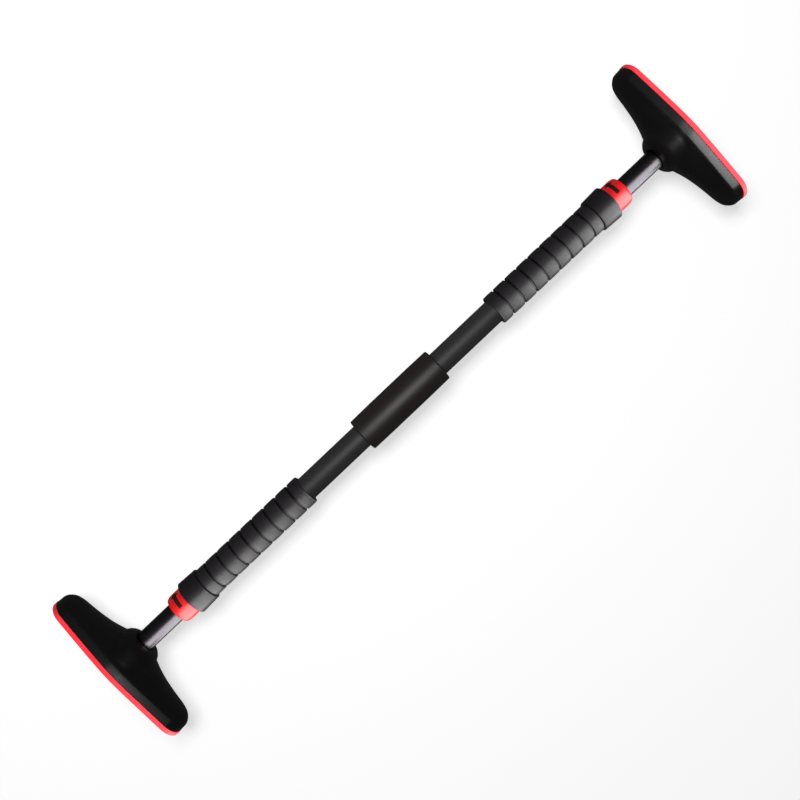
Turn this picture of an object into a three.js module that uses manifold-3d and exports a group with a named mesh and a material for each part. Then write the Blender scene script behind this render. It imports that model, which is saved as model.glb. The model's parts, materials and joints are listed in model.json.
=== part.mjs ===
// Doorway pull up bar. A steel tube with foam grips turns on two lead screws, one right-handed and one
// left-handed, and they push a rod with a rubber-faced foot out of each end until the feet grip the frame.
// Millimetres, +Z up. X runs along the bar and Y along the feet. The feet stand on Z = 0, and the middle of
// the bar is over the origin.
import * as THREE from "three";
import { mergeVertices } from "three/addons/utils/BufferGeometryUtils.js";
import Module from "manifold-3d";

const wasm = await Module();
wasm.setup();

// ---------------------------------------------------------------------------------------------------
// Driving dimensions
// ---------------------------------------------------------------------------------------------------

const GAP = 0.3; // clearance between neighbouring pieces
const FINE = 24; // sides of the round pieces
const COARSE = 12; // sides of screws, pins and their holes
const OVERCUT = 1; // how far a cut starts before the face that it opens

// Radii about the bar's axis. Distances along X are from the bar's middle, on the right-hand side.
const AXIS_HEIGHT = 35; // the bar's axis above the floor, half the width of a foot
const TUBE = { outer: 16, inner: 14.5, end: 358 };
const SLEEVE = { outer: 23.2, end: 65, round: 1.6 };
const GRIP = { outer: 20.8, start: 163, end: 335, round: 1.2 };
const HOUSING = { start: 335.3, end: 362, inboard: 22.85, outboard: 23.95, round: 0.9 };
const SPIGOT = { outer: 18, end: 366 };
const COLLAR = { start: 362.3, end: 385, outer: 19.85, lip: 13.7, lipStart: 379.3, wedgeGap: 0.4 };
// The collar's rounded nose, [along the bar, how far it has dropped below the outside].
const COLLAR_NOSE = [
  [376, 0],
  [380.5, 0.35],
  [383.5, 1.05],
  [COLLAR.end, 2.25],
];
const COLLET = {
  start: 361.6,
  flangeEnd: 364.2,
  end: 379,
  root: 15.6,
  tip: 14.5,
  slotStart: 365.7,
  slot: 1.6,
};
const BUSH = { start: 334, flange: 3, flangeOuter: 15.8 };
const ROD = { outer: 13, inner: 11, start: 250, end: 466 };
const SCREW = { outer: 7, start: 12, end: 340 };
const ANCHOR = { start: 12, end: 48, pinAt: 30, pin: 2.5, pinInset: 0.2 };
const STOP_NUT = { start: 330.6, thickness: 6, acrossFlats: 17 };
const DRIVE_NUT = { start: 236, end: 280, flange: 2, neck: 11 };
const GUIDE = { outer: 14.2, inner: 11.3 };
const PLUG = { start: 446, end: 465.7 };
const GRUB = { outer: 2, hole: 2.3, socket: 1.1, socketDepth: 1.5 };
const HOUSING_GRUB = { at: 345, from: TUBE.outer + GAP, to: 21.95, degrees: 180 };
const NUT_GRUB = { at: 270, from: 8.7, to: ROD.outer - GAP, hole: 8.4, degrees: 0 };

const PAD = { start: 487, end: 493.5, halfLength: 112.5, halfWidth: AXIS_HEIGHT, round: 2 };
const SHELL = { rim: 486.7, hubFace: 441.5, mouth: 15, mouthDepth: 2, socketEnd: ROD.end + GAP };
const RECESS = { depth: 3.2, inset: 4 }; // the shell's shallow recess for the backing plate
const BOLT = { shank: 4, start: 448, headStart: 474.3, headEnd: 479.8, acrossFlats: 13, bore: 4.3 };
const COUNTERBORE = { outer: 10, start: 472 };
const WASHER = { start: 472.3, end: 474, outer: 8.5 };
const PLATE = { start: 483.8, end: 486.5, clearance: 0.4 };
const PLATE_SCREW = {
  alongFoot: [-104, -26, 26, 104],
  head: 3.7,
  headDepth: 1.9,
  shank: 1.8,
  tip: 475.5,
  sunk: 0.2,
  socket: 1.3,
  socketDepth: 1.2,
  hole: 2.1,
  seat: 4.1,
  seatDepth: 2,
};

// The arrow on the collar. It is turned about X by its degrees from +Z, and it lies across the bar.
const ARROW = {
  degrees: 35.5,
  alongBar: 372.7,
  inner: 19.2,
  outer: 20.1,
  gap: 0.3,
  halfLength: 11,
  shaft: 2.4,
  barb: 5.9,
  neck: 5.6,
};

// The foot's outline: a flat at its widest, a taper to each end, and a rounded end. Each value is a
// fraction of the half length, except the taper, which is a fraction of the half width.
const CROWN_FLAT = 0.07;
const END_ROUND = 0.17;
const TAPER = 0.4;
const TAPER_POWER = 1.2;
const OUTLINE_STEPS = [0.07, 0.34, 0.6, 0.83, 0.92, 0.98];

// The back of the foot's shell, as outlines that shrink from its rim to its ridge.
const SHELL_CONTOURS = [
  { x: SHELL.rim, halfLength: 111.9, halfWidth: 34.4 },
  { x: 475.5, halfLength: 111.2, halfWidth: 33.6 },
  { x: 471.5, halfLength: 107.5, halfWidth: 30.5 },
  { x: 467.5, halfLength: 101, halfWidth: 27 },
  { x: 464.3, halfLength: 92, halfWidth: 23.5 },
  { x: 461, halfLength: 72, halfWidth: 21 },
  { x: 457.5, halfLength: 52, halfWidth: 19.5 },
  { x: 453, halfLength: 34, halfWidth: 18 },
];

// The hub's outside, [along the bar, radius], from its face to inside the shell.
const HUB_PROFILE = [
  [SHELL.hubFace, 16.8],
  [442.3, 19.6],
  [443.9, 23],
  [447, 26.2],
  [451, 28.2],
  [458, 29.8],
  [466, 31.4],
  [476, 33],
];

// The shell's weight-saving pockets, on each side of the hub.
const POCKETS = [
  { near: 34, far: 63, floor: 467, halfWidth: 14 },
  { near: 70, far: 96, floor: 472, halfWidth: 11 },
];

const FINISHES = {
  tube: { color: 0x2c2c2f, roughness: 0.45, metalness: 0.6 },
  gloss_steel: { color: 0x1e1c20, roughness: 0.25, metalness: 0.8 },
  zinc: { color: 0xb5b8ba, roughness: 0.35, metalness: 0.9 },
  brass: { color: 0xb5954a, roughness: 0.35, metalness: 0.9 },
  foam: { color: 0x2a2728, roughness: 0.9, metalness: 0 },
  black_plastic: { color: 0x121113, roughness: 0.4, metalness: 0 },
  nylon: { color: 0xe6e2d6, roughness: 0.5, metalness: 0 },
  red_plastic: { color: 0xe8202c, roughness: 0.4, metalness: 0 },
  red_rubber: { color: 0xe02a30, roughness: 0.7, metalness: 0 },
};

// ---------------------------------------------------------------------------------------------------
// Shape helpers
// ---------------------------------------------------------------------------------------------------

// A closed three.js geometry as a manifold-3d solid, without the flat triangles of a lathe's poles.
function solid(geometry) {
  const bare = geometry.index ? geometry.toNonIndexed() : geometry.clone();
  bare.deleteAttribute("normal");
  bare.deleteAttribute("uv");
  const merged = mergeVertices(bare, 1e-4);
  const corners = merged.index.array;
  const kept = [];
  for (let i = 0; i < corners.length; i += 3) {
    const [a, b, c] = corners.slice(i, i + 3);
    if (a !== b && b !== c && c !== a) kept.push(a, b, c);
  }
  const vertProperties = merged.attributes.position.array;
  return new wasm.Manifold(new wasm.Mesh({ numProp: 3, vertProperties, triVerts: new Uint32Array(kept) }));
}

// A solid as a three.js geometry, flat shaded.
function geometryOf(piece) {
  const { vertProperties, triVerts } = piece.getMesh();
  const geometry = new THREE.BufferGeometry();
  geometry.setAttribute("position", new THREE.BufferAttribute(vertProperties, 3));
  geometry.setIndex(new THREE.BufferAttribute(triVerts, 1));
  const flat = geometry.toNonIndexed();
  flat.computeVertexNormals();
  return flat;
}

// A solid turned about the X axis from a closed outline of [x, radius] corners.
function turned(outline, sides = FINE) {
  const loop = outline.map(([x, radius]) => new THREE.Vector2(radius, x));
  if (THREE.ShapeUtils.area(loop) < 0) loop.reverse();
  loop.push(loop[0].clone());
  return solid(new THREE.LatheGeometry(loop, sides).rotateZ(-Math.PI / 2));
}

// A round or many-sided bar along X, solid or with a bore.
function barAlongX(start, end, outer, inner = 0, sides = FINE) {
  return turned([[start, inner], [start, outer], [end, outer], [end, inner]], sides);
}

// A round pin across the bar's axis, turned about X by an angle from +Z, between two distances from it.
function crossPin(x, radius, from, to, degrees = 0) {
  const pin = new THREE.CylinderGeometry(radius, radius, to - from, COARSE);
  pin.rotateX(Math.PI / 2).translate(0, 0, (from + to) / 2);
  return solid(pin.rotateX(THREE.MathUtils.degToRad(-degrees)).translate(x, 0, 0));
}

// A cone along X, from one radius at its start to another at its end.
function coneAlongX(start, end, startRadius, endRadius) {
  return turned([[start, 0], [start, startRadius], [end, endRadius], [end, 0]], COARSE);
}

function box(sizeX, sizeY, sizeZ, x, y, z) {
  return solid(new THREE.BoxGeometry(sizeX, sizeY, sizeZ).translate(x, y, z));
}

// The radius to the corners of a hexagon, from the distance across its flats.
function hexCorner(acrossFlats) {
  return acrossFlats / Math.sqrt(3);
}

// Half the foot's width at a fraction of its half length, as a fraction of its half width.
function outlineHalfWidth(fraction) {
  const taper = 1 - TAPER * Math.max(0, fraction - CROWN_FLAT) ** TAPER_POWER;
  const intoEnd = Math.max(0, fraction - 1 + END_ROUND) / END_ROUND;
  return taper * Math.sqrt(Math.max(0, 1 - intoEnd ** 2));
}

// The foot's outline at one distance along X, as points that run once around it.
function footOutline({ x, halfLength, halfWidth }) {
  const upper = OUTLINE_STEPS.toReversed().map((f) => [f, outlineHalfWidth(f)]);
  const quarters = [
    [[1, 0]],
    upper,
    upper.toReversed().map(([f, w]) => [-f, w]),
    [[-1, 0]],
    upper.map(([f, w]) => [-f, -w]),
    upper.toReversed().map(([f, w]) => [f, -w]),
  ];
  return quarters.flat().map(([f, w]) => new THREE.Vector3(x, f * halfLength, w * halfWidth));
}

// A closed solid through outlines with the same number of points, capped with fans at both ends. The
// outlines come in order of falling x.
function lofted(outlines) {
  const count = outlines[0].length;
  const triangles = [];
  for (let i = 1; i < count - 1; i++) {
    triangles.push(outlines[0][0], outlines[0][i], outlines[0][i + 1]);
    triangles.push(outlines.at(-1)[0], outlines.at(-1)[i + 1], outlines.at(-1)[i]);
  }
  for (let row = 1; row < outlines.length; row++) {
    for (let i = 0; i < count; i++) {
      const next = (i + 1) % count;
      const [a, b] = [outlines[row - 1][i], outlines[row - 1][next]];
      const [c, d] = [outlines[row][i], outlines[row][next]];
      triangles.push(a, c, b, b, c, d);
    }
  }
  return solid(new THREE.BufferGeometry().setFromPoints(triangles));
}

// A plate with the foot's outline, drawn in from the pad's outline by an inset.
function footPlate(start, end, inset) {
  const halfLength = PAD.halfLength - inset;
  const halfWidth = PAD.halfWidth - inset;
  return lofted([end, start].map((x) => footOutline({ x, halfLength, halfWidth })));
}

// An arrow that lies across the collar, as a prism through the collar's wall, grown outwards by an amount.
function arrowPrism(grow) {
  const shaft = ARROW.shaft + grow;
  const barb = ARROW.barb + grow;
  const tail = -ARROW.halfLength - grow;
  const tip = ARROW.halfLength + grow;
  const neck = ARROW.neck - grow;
  const half = [[shaft, tail], [shaft, neck], [barb, neck], [0, tip]];
  const corners = [...half, ...half.slice(0, 3).toReversed().map(([a, c]) => [-a, c])];
  const shape = new THREE.Shape(corners.map(([a, c]) => new THREE.Vector2(a, c)));
  const prism = new THREE.ExtrudeGeometry(shape, { depth: COLLAR.outer, bevelEnabled: false });
  prism.translate(0, 0, COLLAR.lip).rotateX(THREE.MathUtils.degToRad(-ARROW.degrees));
  return solid(prism.translate(ARROW.alongBar, 0, 0));
}

// ---------------------------------------------------------------------------------------------------
// The main bar: everything that turns with the tube
// ---------------------------------------------------------------------------------------------------

function outerTube() {
  const tube = barAlongX(-TUBE.end, TUBE.end, TUBE.outer, TUBE.inner);
  const reach = TUBE.outer + OVERCUT;
  const hole = (x) => crossPin(x, ANCHOR.pin + GAP, -reach, reach, 90);
  return tube.subtract(hole(ANCHOR.pinAt)).subtract(hole(-ANCHOR.pinAt));
}

// A soft tube on the steel tube, with rounded rims.
function foamTube(start, end, outer, round) {
  const bore = TUBE.outer + GAP;
  return turned([
    [start, bore],
    [start, outer - round],
    [start + round, outer],
    [end - round, outer],
    [end, outer - round],
    [end, bore],
  ]);
}

function lockHousing() {
  const bore = TUBE.outer + GAP;
  const { start, end, inboard, outboard, round } = HOUSING;
  const cuff = turned([
    [start, bore],
    [start, inboard - round],
    [start + round, inboard],
    [end - round, outboard],
    [end, outboard - round],
    [end, SPIGOT.outer],
    [SPIGOT.end, SPIGOT.outer],
    [SPIGOT.end, bore],
  ]);
  const { at, degrees } = HOUSING_GRUB;
  return cuff.subtract(crossPin(at, GRUB.hole, TUBE.inner, outboard + OVERCUT, degrees));
}

// A grub screw across the bar, with a hexagon socket in its outer end.
function grubScrew({ at, from, to, degrees }) {
  const socket = new THREE.CylinderGeometry(GRUB.socket, GRUB.socket, 2 * GRUB.socketDepth, 6);
  socket.rotateX(Math.PI / 2).translate(0, 0, to);
  socket.rotateX(THREE.MathUtils.degToRad(-degrees)).translate(at, 0, 0);
  return crossPin(at, GRUB.outer, from, to, degrees).subtract(solid(socket));
}

function tubeBush() {
  const bore = ROD.outer + GAP;
  const flangeStart = TUBE.end + GAP;
  return turned([
    [BUSH.start, bore],
    [BUSH.start, TUBE.inner - GAP],
    [flangeStart, TUBE.inner - GAP],
    [flangeStart, BUSH.flangeOuter],
    [flangeStart + BUSH.flange, BUSH.flangeOuter],
    [flangeStart + BUSH.flange, bore],
  ]);
}

function lockCollet() {
  const bore = ROD.outer + GAP;
  const ring = turned([
    [COLLET.start, bore],
    [COLLET.start, BUSH.flangeOuter],
    [COLLET.flangeEnd, BUSH.flangeOuter],
    [COLLET.flangeEnd, COLLET.root],
    [COLLET.end, COLLET.tip],
    [COLLET.end, bore],
  ]);
  const slotLength = COLLET.end + OVERCUT - COLLET.slotStart;
  const slotMiddle = COLLET.slotStart + slotLength / 2;
  const across = 2 * BUSH.flangeOuter;
  return ring
    .subtract(box(slotLength, across, COLLET.slot, slotMiddle, 0, 0))
    .subtract(box(slotLength, COLLET.slot, across, slotMiddle, 0, 0));
}

// The lead screw, plain at the outside diameter of its thread.
function leadScrew() {
  const bar = barAlongX(SCREW.start, SCREW.end, SCREW.outer);
  const reach = SCREW.outer + OVERCUT;
  return bar.subtract(crossPin(ANCHOR.pinAt, ANCHOR.pin + GAP, -reach, reach, 90));
}

function anchorPlug() {
  const plug = barAlongX(ANCHOR.start, ANCHOR.end, TUBE.inner - GAP, SCREW.outer + GAP);
  return plug.subtract(crossPin(ANCHOR.pinAt, ANCHOR.pin + GAP, -TUBE.inner, TUBE.inner, 90));
}

function anchorPin() {
  const reach = TUBE.outer - ANCHOR.pinInset;
  return crossPin(ANCHOR.pinAt, ANCHOR.pin, -reach, reach, 90);
}

function stopNut() {
  const { start, thickness, acrossFlats } = STOP_NUT;
  const hexagon = barAlongX(start, start + thickness, hexCorner(acrossFlats), 0, 6);
  return hexagon.subtract(barAlongX(start - OVERCUT, start + thickness + OVERCUT, SCREW.outer + GAP));
}

// ---------------------------------------------------------------------------------------------------
// The twist lock
// ---------------------------------------------------------------------------------------------------

function lockCollar() {
  const ring = turned([
    [COLLAR.start, SPIGOT.outer + GAP],
    [COLLAR.start, COLLAR.outer],
    ...COLLAR_NOSE.map(([x, drop]) => [x, COLLAR.outer - drop]),
    [COLLAR.end, COLLAR.lip],
    [COLLAR.lipStart, COLLAR.lip],
    [COLLAR.lipStart, COLLET.tip + COLLAR.wedgeGap],
    [SPIGOT.end + GAP, COLLET.root + COLLAR.wedgeGap],
    [SPIGOT.end + GAP, SPIGOT.outer + GAP],
  ]);
  return ring.subtract(arrowBetween(ARROW.inner - ARROW.gap, COLLAR.outer + OVERCUT, ARROW.gap));
}

// The arrow between two radii, grown outwards by an amount.
function arrowBetween(inner, outer, grow) {
  return arrowPrism(grow).intersect(barAlongX(COLLAR.start, COLLAR.end, outer, inner));
}

// ---------------------------------------------------------------------------------------------------
// The guide ring and the leg: rod, nut and foot
// ---------------------------------------------------------------------------------------------------

function guideRing() {
  const start = DRIVE_NUT.start + DRIVE_NUT.flange + GAP;
  return barAlongX(start, ROD.start - GAP, GUIDE.outer, GUIDE.inner);
}

function driveNut() {
  const { start, end, flange, neck } = DRIVE_NUT;
  const bore = SCREW.outer + GAP;
  const body = turned([
    [start, bore],
    [start, ROD.outer],
    [start + flange, ROD.outer],
    [start + flange, neck],
    [ROD.start - GAP, neck],
    [ROD.start - GAP, ROD.inner - GAP],
    [end, ROD.inner - GAP],
    [end, bore],
  ]);
  return body.subtract(nutGrubHole());
}

function rodTube() {
  const tube = barAlongX(ROD.start, ROD.end, ROD.outer, ROD.inner);
  return tube.subtract(nutGrubHole());
}

// The hole through the rod's wall and into the drive nut, for the grub screw that holds them together.
function nutGrubHole() {
  return crossPin(NUT_GRUB.at, GRUB.hole, NUT_GRUB.hole, ROD.outer + OVERCUT, NUT_GRUB.degrees);
}

function rodPlug() {
  return barAlongX(PLUG.start, PLUG.end, ROD.inner - GAP, BOLT.bore);
}

function footShell() {
  const hub = turned([[SHELL.hubFace, 0], ...HUB_PROFILE, [HUB_PROFILE.at(-1)[0], 0]]);
  const recessFloor = SHELL.rim - RECESS.depth;
  let shell = lofted(SHELL_CONTOURS.map(footOutline)).add(hub);
  shell = shell
    .subtract(barAlongX(SHELL.hubFace - OVERCUT, SHELL.socketEnd, ROD.outer + GAP))
    .subtract(coneAlongX(SHELL.hubFace, SHELL.hubFace + SHELL.mouthDepth, SHELL.mouth, ROD.outer))
    .subtract(barAlongX(SHELL.socketEnd - OVERCUT, COUNTERBORE.start + OVERCUT, BOLT.bore, 0, COARSE))
    .subtract(barAlongX(COUNTERBORE.start, SHELL.rim + OVERCUT, COUNTERBORE.outer))
    .subtract(footPlate(recessFloor, SHELL.rim + OVERCUT, RECESS.inset));
  for (const { near, far, floor, halfWidth } of POCKETS) {
    const depth = recessFloor - floor + OVERCUT;
    for (const end of [-1, 1]) {
      const middle = (end * (near + far)) / 2;
      shell = shell.subtract(box(depth, far - near, 2 * halfWidth, floor + depth / 2, middle, 0));
    }
  }
  const pilot = barAlongX(PLATE_SCREW.tip - OVERCUT, SHELL.rim, PLATE_SCREW.hole, 0, COARSE);
  for (const y of PLATE_SCREW.alongFoot) shell = shell.subtract(pilot.translate([0, y, 0]));
  return shell;
}

function footBolt() {
  const head = barAlongX(BOLT.headStart, BOLT.headEnd, hexCorner(BOLT.acrossFlats), 0, 6);
  return head.add(barAlongX(BOLT.start, BOLT.headStart + OVERCUT, BOLT.shank, 0, COARSE));
}

function footWasher() {
  return barAlongX(WASHER.start, WASHER.end, WASHER.outer, BOLT.bore, COARSE);
}

function backingPlate() {
  const { hole, seat: rim, seatDepth, alongFoot } = PLATE_SCREW;
  let plate = footPlate(PLATE.start, PLATE.end, RECESS.inset + PLATE.clearance);
  for (const y of alongFoot) {
    const through = barAlongX(PLATE.start - OVERCUT, PLATE.end + OVERCUT, hole, 0, COARSE);
    const seat = coneAlongX(PLATE.end - seatDepth, PLATE.end, hole, rim);
    plate = plate.subtract(through.add(seat).translate([0, y, 0]));
  }
  return plate;
}

// A countersunk screw at the middle of the foot, with a hexagon socket. It is placed along the foot.
function plateScrew() {
  const { head, headDepth, shank, tip, sunk, socket, socketDepth } = PLATE_SCREW;
  const outer = PLATE.end - sunk;
  const outline = [[tip, 0], [tip + OVERCUT, shank], [outer - headDepth, shank], [outer, head], [outer, 0]];
  return turned(outline, COARSE).subtract(barAlongX(outer - socketDepth, outer + OVERCUT, socket, 0, 6));
}

function pad() {
  const { start, end, halfLength, halfWidth, round } = PAD;
  return lofted([
    footOutline({ x: end, halfLength: halfLength - round, halfWidth: halfWidth - round }),
    footOutline({ x: end - round, halfLength, halfWidth }),
    footOutline({ x: start, halfLength, halfWidth }),
  ]);
}

// ---------------------------------------------------------------------------------------------------
// Assembly
// ---------------------------------------------------------------------------------------------------

// The pieces of one half, named without their side: the solid, its finish and its place along the foot.
const HALF = [
  ["foam_grip", foamTube(GRIP.start, GRIP.end, GRIP.outer, GRIP.round), "foam"],
  ["lock_housing", lockHousing(), "black_plastic"],
  ["housing_screw", grubScrew(HOUSING_GRUB), "zinc"],
  ["tube_bush", tubeBush(), "nylon"],
  ["lock_collet", lockCollet(), "nylon"],
  ["lead_screw", leadScrew(), "zinc"],
  ["anchor_plug", anchorPlug(), "zinc"],
  ["anchor_pin", anchorPin(), "zinc"],
  ["stop_nut", stopNut(), "zinc"],
  ["lock_collar", lockCollar(), "red_plastic"],
  ["arrow_inlay", arrowBetween(ARROW.inner, ARROW.outer, 0), "black_plastic"],
  ["guide_ring", guideRing(), "nylon"],
  ["rod", rodTube(), "gloss_steel"],
  ["drive_nut", driveNut(), "brass"],
  ["nut_screw", grubScrew(NUT_GRUB), "zinc"],
  ["rod_plug", rodPlug(), "zinc"],
  ["foot_shell", footShell(), "black_plastic"],
  ["foot_bolt", footBolt(), "zinc"],
  ["foot_washer", footWasher(), "zinc"],
  ["backing_plate", backingPlate(), "zinc"],
  ["pad", pad(), "red_rubber"],
];
const screw = plateScrew();
PLATE_SCREW.alongFoot.forEach((y, i) => HALF.push([`plate_screw_${i + 1}`, screw, "zinc", y]));

function meshOf(name, piece, finish, alongFoot = 0) {
  const mesh = new THREE.Mesh(geometryOf(piece), new THREE.MeshStandardMaterial(FINISHES[finish]));
  mesh.name = name;
  mesh.position.y = alongFoot;
  return mesh;
}

const bar = new THREE.Group();
bar.position.z = AXIS_HEIGHT;
bar.add(meshOf("outer_tube", outerTube(), "tube"));
bar.add(meshOf("centre_sleeve", foamTube(-SLEEVE.end, SLEEVE.end, SLEEVE.outer, SLEEVE.round), "foam"));
for (const [side, facing] of [["right", 1], ["left", -1]]) {
  const half = new THREE.Group();
  half.scale.x = facing;
  HALF.forEach(([name, ...rest]) => half.add(meshOf(`${side}_${name}`, ...rest)));
  bar.add(half);
}

const pullUpBar = new THREE.Group();
pullUpBar.add(bar);
export default pullUpBar;
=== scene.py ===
"""Looks of a doorway pull up bar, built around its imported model.

A steel tube with foam grips turns on two lead screws and drives a rod with a rubber-faced foot out of each
end. Metres throughout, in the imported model's frame: X runs along the bar, Y along the feet and Z up, and the
feet stand on Z = 0. Shapes are made for the right-hand half and mirrored for the left.
"""

from __future__ import annotations

import json
import logging
import math
from dataclasses import dataclass, field
from enum import Enum
from typing import Any, Sequence, Union

import bpy
import numpy as np
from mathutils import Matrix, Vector

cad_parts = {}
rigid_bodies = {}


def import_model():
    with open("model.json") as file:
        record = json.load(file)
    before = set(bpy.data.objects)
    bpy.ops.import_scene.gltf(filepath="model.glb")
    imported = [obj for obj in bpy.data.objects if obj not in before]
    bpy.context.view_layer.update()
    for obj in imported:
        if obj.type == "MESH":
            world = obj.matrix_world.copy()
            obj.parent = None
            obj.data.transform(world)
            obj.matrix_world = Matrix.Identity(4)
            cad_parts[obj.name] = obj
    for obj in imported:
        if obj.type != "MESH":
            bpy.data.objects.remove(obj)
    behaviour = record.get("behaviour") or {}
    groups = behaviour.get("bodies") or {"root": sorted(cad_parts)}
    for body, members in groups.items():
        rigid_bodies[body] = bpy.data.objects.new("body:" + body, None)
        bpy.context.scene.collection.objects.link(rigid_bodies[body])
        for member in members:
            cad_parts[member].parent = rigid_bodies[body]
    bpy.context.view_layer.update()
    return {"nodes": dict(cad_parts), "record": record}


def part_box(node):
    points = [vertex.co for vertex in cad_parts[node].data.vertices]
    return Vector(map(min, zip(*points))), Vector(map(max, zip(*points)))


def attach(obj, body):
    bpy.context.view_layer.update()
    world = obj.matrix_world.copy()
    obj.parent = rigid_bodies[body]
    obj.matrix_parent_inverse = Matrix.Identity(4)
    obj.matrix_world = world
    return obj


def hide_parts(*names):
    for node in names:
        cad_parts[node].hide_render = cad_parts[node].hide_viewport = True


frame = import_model()

log = logging.getLogger("pull_up_bar")

Colour = tuple[float, float, float]
Corner = tuple[float, float, float]
Pair = tuple[float, float]

MM = 0.001
WELD = 1e-7  # points closer than this are one point
TINY = 1e-12  # the least length that anything is divided by
STRAIGHT = 1e-6  # the least angle that a rounded corner turns by
AXIS_HEIGHT = sum(corner.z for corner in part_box("outer_tube")) / 2
SIDES = 96  # faces round the bar
HOLE_SIDES = 32  # faces round a drilled hole
OVERRUN = 1.2  # how much further out than the surface a drill starts
SHARP = math.radians(38)  # edges that turn by more than this look sharp


class Side(Enum):
    """The two halves of the bar, and the way that each one's X runs."""

    RIGHT = 1
    LEFT = -1

    def node(self, name: str) -> str:
        """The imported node's name for a piece of this half."""
        return f"{self.name.lower()}_{name}"


# ----------------------------------------------------------------------------------------------------
# Surfaces
# ----------------------------------------------------------------------------------------------------


def rounded(corners: Sequence[Corner], steps: int = 6) -> np.ndarray:
    """Rounds the corners of a closed outline.

    Each corner becomes an arc of its own radius that touches both of its straight stretches. The arc's
    centre lies on the corner's bisector at radius / sin(half the corner's angle), and its points turn from
    one touching point to the other by the sine rule for arcs.

    Args:
        corners: The corners in order, as (first coordinate, second coordinate, rounding radius).
        steps: How many stretches an arc is made of.

    Returns:
        The outline's points, shape (n, 2).
    """
    table = np.asarray(corners, float)
    points, radii = table[:, :2], table[:, 2:]
    back = np.roll(points, 1, 0) - points
    ahead = np.roll(points, -1, 0) - points
    back /= np.linalg.norm(back, axis=1, keepdims=True)
    ahead /= np.linalg.norm(ahead, axis=1, keepdims=True)
    half = np.arccos(np.clip((back * ahead).sum(1, keepdims=True), -1, 1)) / 2
    bisector = back + ahead
    bisector /= np.maximum(np.linalg.norm(bisector, axis=1, keepdims=True), TINY)
    centre = points + bisector * radii / np.sin(half)
    first = points + back * radii / np.tan(half) - centre
    last = points + ahead * radii / np.tan(half) - centre
    sweep = np.maximum(np.pi - 2 * half, STRAIGHT)[:, None]
    share = np.linspace(0, 1, steps + 1)[None, :, None]
    leaving, arriving = np.sin((1 - share) * sweep), np.sin(share * sweep)
    arc = (leaving * first[:, None] + arriving * last[:, None]) / np.sin(sweep)
    outline = (centre[:, None] + arc).reshape(-1, 2)
    apart = np.linalg.norm(outline - np.roll(outline, 1, 0), axis=1) > WELD
    return outline[apart]


def turned(outline: np.ndarray, sides: int = SIDES) -> np.ndarray:
    """Turns a closed outline about the bar's axis.

    Args:
        outline: Points (along the bar, radius), shape (n, 2).
        sides: How many columns go round.

    Returns:
        Grid of points, shape (n, sides, 3): the radius times the cosine of the angle stands up from the
        axis, and the radius times its sine goes across.
    """
    angle = np.linspace(0, 2 * np.pi, sides, endpoint=False)[None, :]
    along, radius = outline[:, :1], outline[:, 1:]
    across = radius * np.sin(angle)
    up = radius * np.cos(angle) + AXIS_HEIGHT
    return np.stack([along + 0 * angle, across, up], -1)


def capped(grid: np.ndarray) -> np.ndarray:
    """Closes an open grid with a pole at the middle of its first row and one at the middle of its last.

    Args:
        grid: Rows of points, shape (rows, columns, 3).

    Returns:
        The grid with a row of one repeated point before it and another after it.
    """
    first = np.broadcast_to(grid[0].mean(0), grid[:1].shape)
    last = np.broadcast_to(grid[-1].mean(0), grid[:1].shape)
    return np.concatenate([first, grid, last])


def closed_mesh(
    name: str, grid: np.ndarray, side: Side = Side.RIGHT, ring: bool = True
) -> bpy.types.Object:
    """Makes one closed, outward-facing mesh from a grid of points whose columns go round.

    Points that coincide become one vertex, and quads that fall to a triangle there become triangles. The
    enclosed volume, the sum of each triangle's corner triple product over six, says which way the faces
    point, and they are all turned round when it is negative.

    Args:
        name: The object's name.
        grid: Points, shape (rows, columns, 3), for the right-hand half.
        side: The half that the piece belongs to. The left one is the mirror image.
        ring: Whether the last row joins the first. If not, both must be poles.

    Returns:
        The object, linked to the scene.
    """
    points = grid.reshape(-1, 3) * (side.value, 1, 1)
    index = np.arange(len(points)).reshape(grid.shape[:2])
    here = index if ring else index[:-1]
    below = np.roll(index, -1, 0) if ring else index[1:]
    quads = np.stack([here, np.roll(here, -1, 1), np.roll(below, -1, 1), below], -1).reshape(-1, 4)
    keys = np.round(points / WELD).astype(np.int64)
    _, kept, place = np.unique(keys, axis=0, return_index=True, return_inverse=True)
    points, quads = points[kept], place.reshape(-1)[quads]
    same = quads == np.roll(quads, -1, 1)
    folded = (quads[:, 0] == quads[:, 2]) | (quads[:, 1] == quads[:, 3])
    whole = quads[(same.sum(1) == 0) & ~folded]
    narrow = (same.sum(1) == 1) & ~folded
    triangles = quads[narrow][~same[narrow]].reshape(-1, 3)
    halves = np.concatenate([whole[:, :3], whole[:, [0, 2, 3]], triangles])
    a, b, c = (points[halves[:, corner]] for corner in range(3))
    if (a * np.cross(b, c)).sum() < 0:
        whole, triangles = whole[:, ::-1], triangles[:, ::-1]
    mesh = bpy.data.meshes.new(name)
    mesh.from_pydata(points.tolist(), [], whole.tolist() + triangles.tolist())
    piece = bpy.data.objects.new(name, mesh)
    bpy.context.scene.collection.objects.link(piece)
    soften(piece)
    return piece


def soften(piece: bpy.types.Object) -> None:
    """Shades a piece smooth, apart from its sharp edges."""
    piece.data.shade_smooth()
    piece.data.set_sharp_from_angle(angle=SHARP)


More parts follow.
